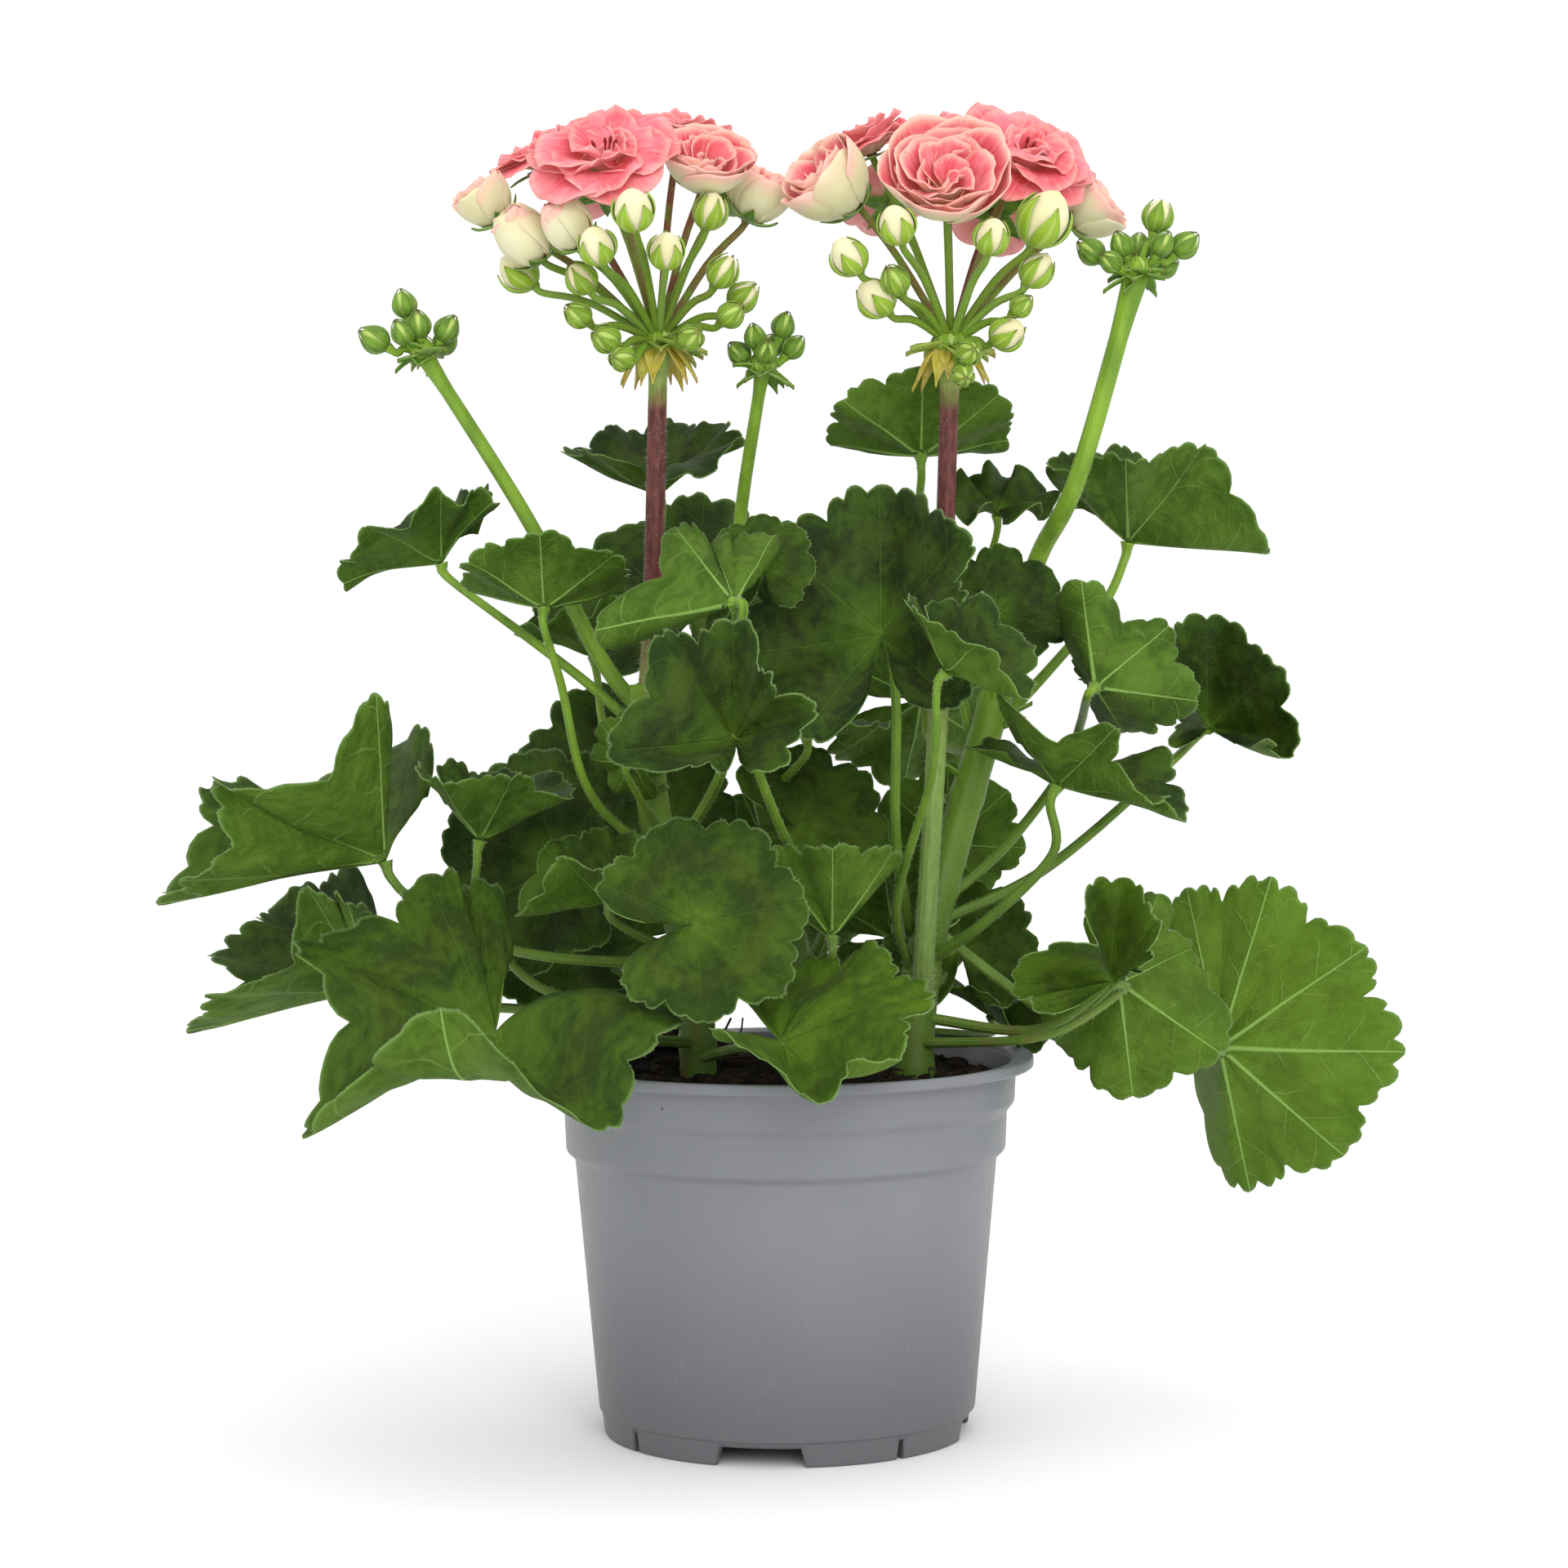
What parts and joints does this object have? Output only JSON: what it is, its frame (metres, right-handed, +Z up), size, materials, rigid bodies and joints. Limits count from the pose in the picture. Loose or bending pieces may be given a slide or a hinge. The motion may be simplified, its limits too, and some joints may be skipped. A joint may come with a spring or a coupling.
{
  "type": "potted zonal geranium",
  "caption": "Bushy potted zonal geranium with round scalloped leaves, upright stalks, double pink bloom heads and green bud heads in a grey nursery pot.",
  "frame": {"origin": "centre of the whole plant's bounding box, at ground level; the pot's own axis stands at X -1.72 mm, Y 9.74 mm", "axes": "+Z up along the pot's axis, -Y towards the viewer of the picture, +X to that viewer's right"},
  "size_m": [0.3242, 0.189, 0.3478],
  "materials": {
    "pot": "satin",
    "soil": "matte",
    "stem": "matte",
    "flower_stalk": "matte",
    "bud_head": "matte",
    "petal": "matte",
    "leaf": "matte"
  },
  "bodies": {
    "root": {"pot": "pot", "soil": "soil", "stem_left": "stem", "stem_middle": "stem", "stem_right": "stem", "flower_stalk_left": "flower_stalk", "flower_stalk_right": "flower_stalk", "bud_head_left": "bud_head", "bud_head_middle": "bud_head", "bud_head_right": "bud_head", "bloom_left_1": "petal", "bloom_left_2": "petal", "bloom_left_3": "petal", "bloom_left_4": "petal", "bloom_left_5": "petal", "bloom_left_6": "petal", "bloom_left_7": "petal", "bloom_left_8": "petal", "bloom_right_1": "petal", "bloom_right_2": "petal", "bloom_right_3": "petal", "bloom_right_4": "petal", "bloom_right_5": "petal", "bloom_right_6": "petal", "bloom_right_7": "petal", "bloom_right_8": "petal", "leaf_left_1": "leaf", "leaf_left_2": "leaf", "leaf_left_3": "leaf", "leaf_left_4": "leaf", "leaf_left_5": "leaf", "leaf_left_6": "leaf", "leaf_left_7": "leaf", "leaf_left_8": "leaf", "leaf_left_9": "leaf", "leaf_left_10": "leaf", "leaf_left_11": "leaf", "leaf_left_12": "leaf", "leaf_left_13": "leaf", "leaf_middle_1": "leaf", "leaf_middle_2": "leaf", "leaf_middle_3": "leaf", "leaf_right_1": "leaf", "leaf_right_2": "leaf", "leaf_right_3": "leaf", "leaf_right_4": "leaf", "leaf_right_5": "leaf", "leaf_right_6": "leaf", "leaf_right_7": "leaf", "leaf_right_8": "leaf", "leaf_right_9": "leaf", "leaf_right_10": "leaf", "leaf_right_11": "leaf", "leaf_right_12": "leaf", "leaf_back_1": "leaf", "leaf_back_2": "leaf", "leaf_back_3": "leaf", "leaf_back_4": "leaf", "leaf_back_5": "leaf"}
  },
  "joints": []
}
